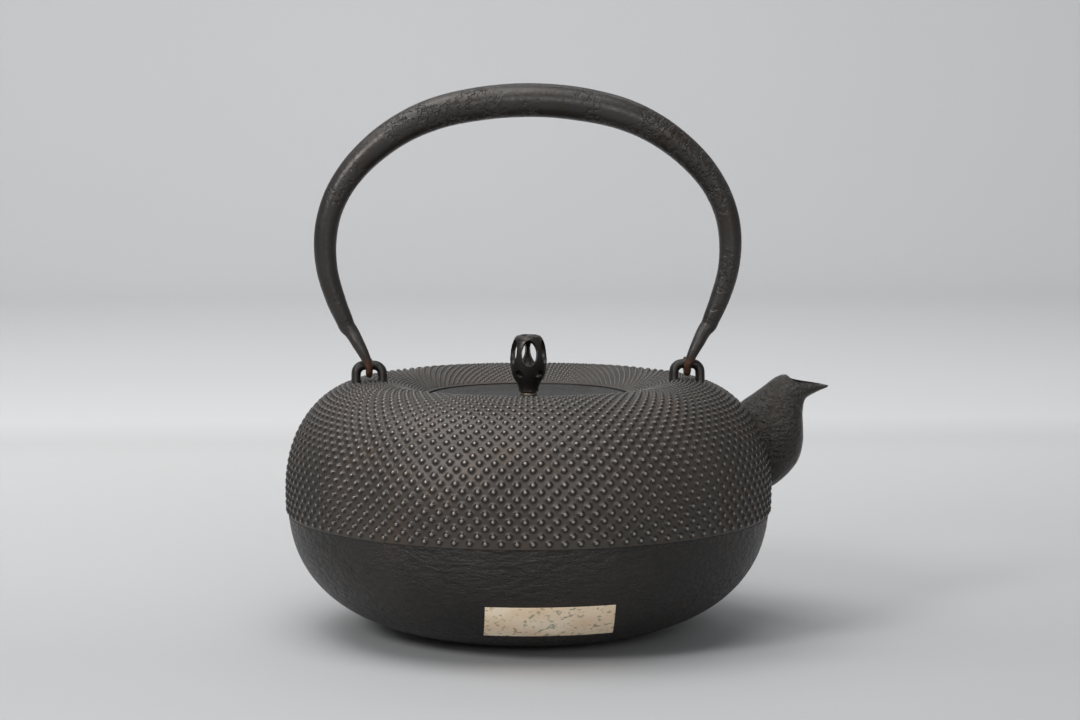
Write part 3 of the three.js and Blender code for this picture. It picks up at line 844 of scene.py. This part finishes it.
def backdrop():
    line = [(FLOOR_FRONT, 0.0), (BACK_START, 0.0)]
    for i in range(1, BACK_STEPS + 1):
        angle = math.pi / 2 * i / BACK_STEPS
        y, z = BACK_START + BACK_RADIUS * math.sin(angle), BACK_RADIUS * (1 - math.cos(angle))
        line.append((y, z))
    line.append((BACK_START + BACK_RADIUS, BACK_TOP))
    points = [[x / MM, y / MM, z / MM] for y, z in line for x in (-HALF_SPAN, HALF_SPAN)]
    piece = new_object("backdrop", points, grid_faces(len(line), 2, columns_close=False), 60)
    made, nodes, links, shader = material("studio_paper", 0.8, 0.0)
    depth = place_along(nodes, links, "Y")
    cloud = noise(nodes, links, 1.2, 2)
    # Painted light: the floor is painted darker at the front and lighter towards the back, and from 0.57 m
    # back a still lighter band stands in for the light on the wall.
    painted_dim_front = ramp(nodes, links, cloud, [(0.3, (0.36, 0.362, 0.366)), (0.7, (0.38, 0.382, 0.386))])
    painted_bright_back = ramp(nodes, links, cloud, [(0.3, (0.52, 0.52, 0.52)), (0.7, (0.54, 0.54, 0.54))])
    back = ramp(nodes, links, cloud, [(0.3, (0.6, 0.602, 0.606)), (0.7, (0.62, 0.622, 0.626))])
    floor = blended(nodes, links, spread(nodes, links, depth, -0.05, 0.5, 0, 1), painted_dim_front, painted_bright_back)
    painted_wall_band = spread(nodes, links, depth, 0.57, 0.67, 0, 1)
    links.new(blended(nodes, links, painted_wall_band, floor, back), shader.inputs["Base Color"])
    piece.data.materials.append(made)


def lamp(name, place, aim, size, power):
    data = bpy.data.lights.new(name, "AREA")
    data.shape = "RECTANGLE"
    data.size, data.size_y = size
    data.energy = power
    made = linked(bpy.data.objects.new(name, data))
    made.location = place
    x, y, z = np.array(aim) - np.array(place)
    made.rotation_euler = (math.atan2(math.hypot(x, y), -z), 0, math.atan2(-x, y))


# Each lamp is its name, place, aim, size in metres and power in watts.
LAMPS = [
    ("top_box", (-0.25, -0.25, 1.35), (0, 0, 0.05), (1.3, 1.0), 15),
    ("left_box", (-1.0, -1.1, 0.95), (0, 0, 0.06), (0.4, 0.4), 13),
    ("front_box", (0.3, -1.9, 0.7), (0, 0, 0.06), (0.8, 0.5), 7),
    ("back_box", (-0.5, 0.15, 0.9), (0, 0.6, 0), (0.8, 0.3), 1.8),
    ("wall_box", (-0.1, 1.0, 1.5), (0, 1.6, 0.2), (2.0, 0.4), 9),
]
SKY_COLOUR = (0.8, 0.82, 0.85, 1)
SKY_STRENGTH = 0.38

backdrop()
for settings in LAMPS:
    lamp(*settings)
world = bpy.data.worlds.new("studio")
world.use_nodes = True
background = world.node_tree.nodes["Background"]
background.inputs["Color"].default_value = SKY_COLOUR
background.inputs["Strength"].default_value = SKY_STRENGTH
bpy.context.scene.world = world
bpy.context.scene.view_settings.view_transform = "Standard"

# Camera, with its place in metres, its angles in radians and its lens in millimetres
CAMERA_PLACE = (-0.0564, -1.1616, 0.2254)
CAMERA_TILT = 0.1025  # below the horizontal
CAMERA_TURN = -0.05236  # three degrees to the right
SENSOR_WIDTH = 36
FOCAL_LENGTH = 100
CLIP_START = 0.05
camera_data = bpy.data.cameras.new("camera")
camera_data.sensor_width = SENSOR_WIDTH
camera_data.lens = FOCAL_LENGTH
camera_data.clip_start = CLIP_START
camera = linked(bpy.data.objects.new("camera", camera_data))
camera.location = CAMERA_PLACE
camera.rotation_euler = (math.pi / 2 - CAMERA_TILT, 0, CAMERA_TURN)
bpy.context.scene.camera = camera
